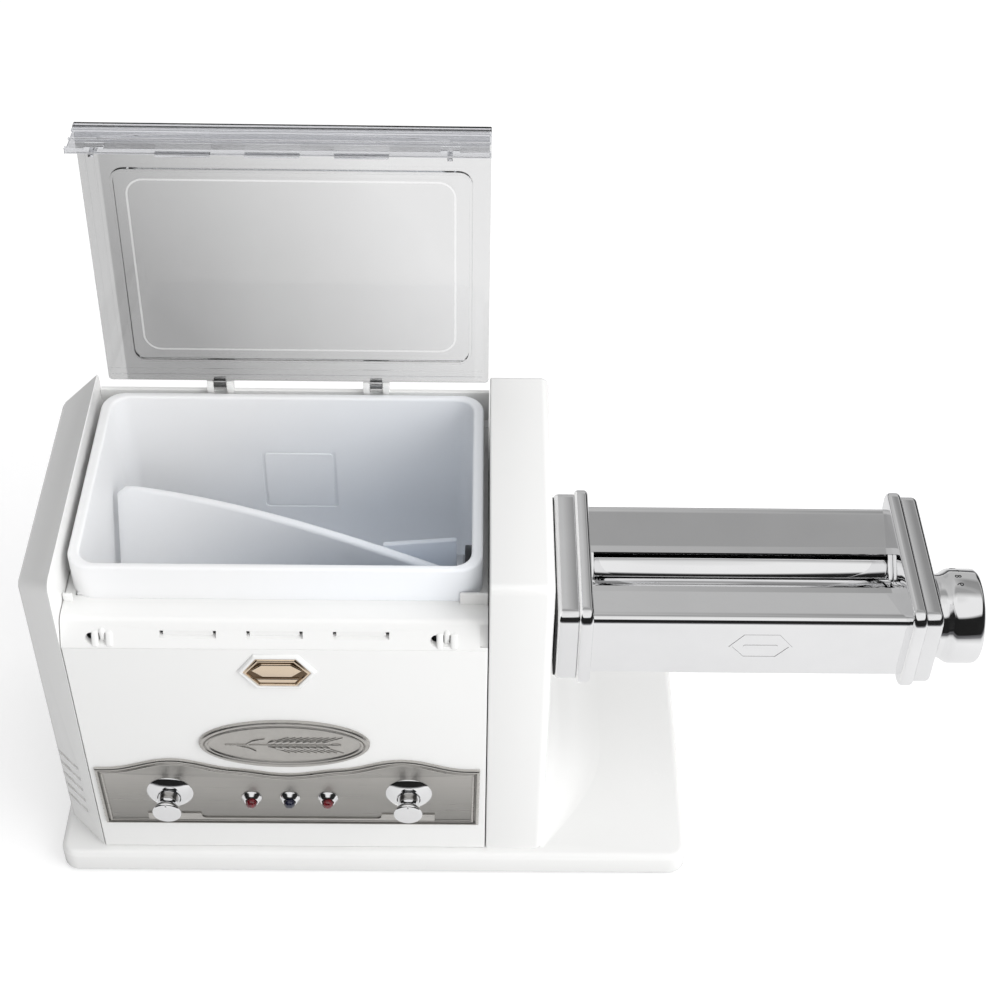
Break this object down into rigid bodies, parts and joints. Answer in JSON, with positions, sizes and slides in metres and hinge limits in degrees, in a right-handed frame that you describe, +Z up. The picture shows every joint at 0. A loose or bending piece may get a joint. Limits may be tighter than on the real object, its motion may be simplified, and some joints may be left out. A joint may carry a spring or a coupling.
{
  "type": "electric pasta maker",
  "caption": "Countertop pasta maker with a lidded mixing tub, twisted paddle, control panel and side-mounted sheet rollers with a thickness regulator.",
  "frame": {"origin": "centre of the footprint of the whole machine, on the surface it stands on", "axes": "+Z up, +X from the body towards the roller unit, the control panel faces -Y"},
  "size_m": [0.4704, 0.1856, 0.3677],
  "materials": {
    "white_body": "glossy moulded white",
    "tub_plastic": "satin, slightly milky",
    "lid_clear": "clear with a faint smoke tint",
    "paddle_plastic": "satin",
    "pewter": "grey metallic with a satin sheen",
    "chrome": "polished",
    "steel": "brushed",
    "brass": "polished",
    "gold_badge": "satin bronze",
    "black_plastic": "fine texture",
    "rubber_foot": "matte",
    "gear_nylon": "natural nylon",
    "red_lens": "clear red",
    "blue_lens": "clear blue",
    "board_green": "lacquered"
  },
  "bodies": {
    "frame": {"base_tray": "white_body", "feet": "rubber_foot", "left_side_cover": "white_body", "front_panel": "white_body", "front_shoulder": "white_body", "motor_housing": "white_body", "rear_cover": "white_body", "gear_plate": "steel", "cover_screws": "steel", "lid_catches": "white_body", "hinge_pins": "steel", "control_plate": "pewter", "knob_discs": "chrome", "lamp_bezels": "chrome", "red_lenses": "red_lens", "blue_lens": "blue_lens", "lamp_bodies": "black_plastic", "oval_badge": "pewter", "top_badge": "gold_badge", "selector_switch": "black_plastic", "power_switch": "black_plastic", "circuit_board": "board_green", "power_inlet": "black_plastic", "motor_can": "steel", "reduction_axle": "steel", "drive_bush": "brass"},
    "lid": {"lid": "lid_clear"},
    "tub": {"tub": "tub_plastic", "tub_bush": "black_plastic", "tub_seal": "black_plastic"},
    "paddle": {"paddle": "paddle_plastic", "paddle_hub": "steel"},
    "paddle_drive": {"paddle_drive_gear": "gear_nylon", "drive_dog": "steel"},
    "reduction": {"reduction_gear": "gear_nylon"},
    "rotor": {"motor_rotor": "steel", "motor_fan": "black_plastic", "motor_pinion": "brass"},
    "roller_drive": {"roller_drive_gear": "gear_nylon", "roller_drive_shaft": "steel"},
    "selector_knob": {"selector_knob": "chrome"},
    "power_knob": {"power_knob": "chrome"},
    "roller_unit": {"left_cap": "chrome", "left_flange": "chrome", "right_flange": "chrome", "right_cap": "chrome", "front_skin": "chrome", "back_skin": "chrome", "front_hood": "chrome", "back_hood": "chrome", "tie_rods": "steel", "scrapers": "steel", "roller_bushes": "brass"},
    "back_roller": {"back_roller": "chrome", "back_roller_gear": "steel"},
    "carriers": {"gap_carriers": "brass"},
    "front_roller": {"front_roller": "chrome", "front_roller_gear": "steel"},
    "regulator_shaft": {"regulator_shaft": "steel"},
    "regulator_knob": {"regulator_knob": "chrome"}
  },
  "joints": [
    {"name": "lid_hinge", "type": "hinge", "parent": "frame", "child": "lid", "pos_m": [-0.10875, 0.07827, 0.2135], "axis": [-1, 0, 0], "range_deg": [-95.5, 0]},
    {"name": "tub_lift", "type": "slide", "parent": "frame", "child": "tub", "axis": [0, 0, 1], "range_m": [0, 0.14]},
    {"name": "paddle_spin", "type": "hinge", "parent": "tub", "child": "paddle", "pos_m": [-0.11125, 0.00987, 0.128], "axis": [1, 0, 0], "continuous": true},
    {"name": "drive_spin", "type": "hinge", "parent": "frame", "child": "paddle_drive", "pos_m": [0.00875, 0.00987, 0.128], "axis": [1, 0, 0], "continuous": true},
    {"name": "reduction_spin", "type": "hinge", "parent": "frame", "child": "reduction", "pos_m": [0.00675, 0.02327, 0.08], "axis": [1, 0, 0], "continuous": true},
    {"name": "rotor_spin", "type": "hinge", "parent": "frame", "child": "rotor", "pos_m": [-0.04125, 0.04927, 0.044], "axis": [1, 0, 0], "continuous": true},
    {"name": "roller_drive_spin", "type": "hinge", "parent": "frame", "child": "roller_drive", "pos_m": [0.01675, -0.01473, 0.17], "axis": [1, 0, 0], "continuous": true},
    {"name": "unit_pull", "type": "slide", "parent": "frame", "child": "roller_unit", "axis": [1, 0, 0], "range_m": [0, 0.04]},
    {"name": "back_roller_spin", "type": "hinge", "parent": "roller_unit", "child": "back_roller", "pos_m": [0.11975, -0.01473, 0.17], "axis": [1, 0, 0], "continuous": true},
    {"name": "gap_slide", "type": "slide", "parent": "roller_unit", "child": "carriers", "axis": [0, -1, 0], "range_m": [-0.0014, 0.0028]},
    {"name": "front_roller_spin", "type": "hinge", "parent": "carriers", "child": "front_roller", "pos_m": [0.11975, -0.04473, 0.17], "axis": [1, 0, 0], "continuous": true},
    {"name": "regulator_turn", "type": "hinge", "parent": "roller_unit", "child": "regulator_shaft", "pos_m": [0.21875, -0.04273, 0.17], "axis": [1, 0, 0], "range_deg": [-90, 180]},
    {"name": "regulator_pull", "type": "slide", "parent": "regulator_shaft", "child": "regulator_knob", "axis": [1, 0, 0], "range_m": [0, 0.004], "stiffness_N_per_m": 150},
    {"name": "selector_turn", "type": "hinge", "parent": "frame", "child": "selector_knob", "pos_m": [-0.17095, -0.08473, 0.0648], "axis": [0, -1, 0], "range_deg": [-60, 60]},
    {"name": "power_turn", "type": "hinge", "parent": "frame", "child": "power_knob", "pos_m": [-0.04655, -0.08473, 0.0648], "axis": [0, -1, 0], "range_deg": [-90, 0]}
  ],
  "couplings": [
    {"joint": "paddle_spin", "follows": "drive_spin", "ratio": 1},
    {"joint": "reduction_spin", "follows": "drive_spin", "ratio": -2.9333},
    {"joint": "rotor_spin", "follows": "drive_spin", "ratio": 12.862},
    {"joint": "roller_drive_spin", "follows": "drive_spin", "ratio": -1.6},
    {"joint": "back_roller_spin", "follows": "drive_spin", "ratio": -1.6},
    {"joint": "front_roller_spin", "follows": "drive_spin", "ratio": 1.6},
    {"joint": "gap_slide", "follows": "regulator_turn", "m_per_rad": 0.00089127}
  ]
}
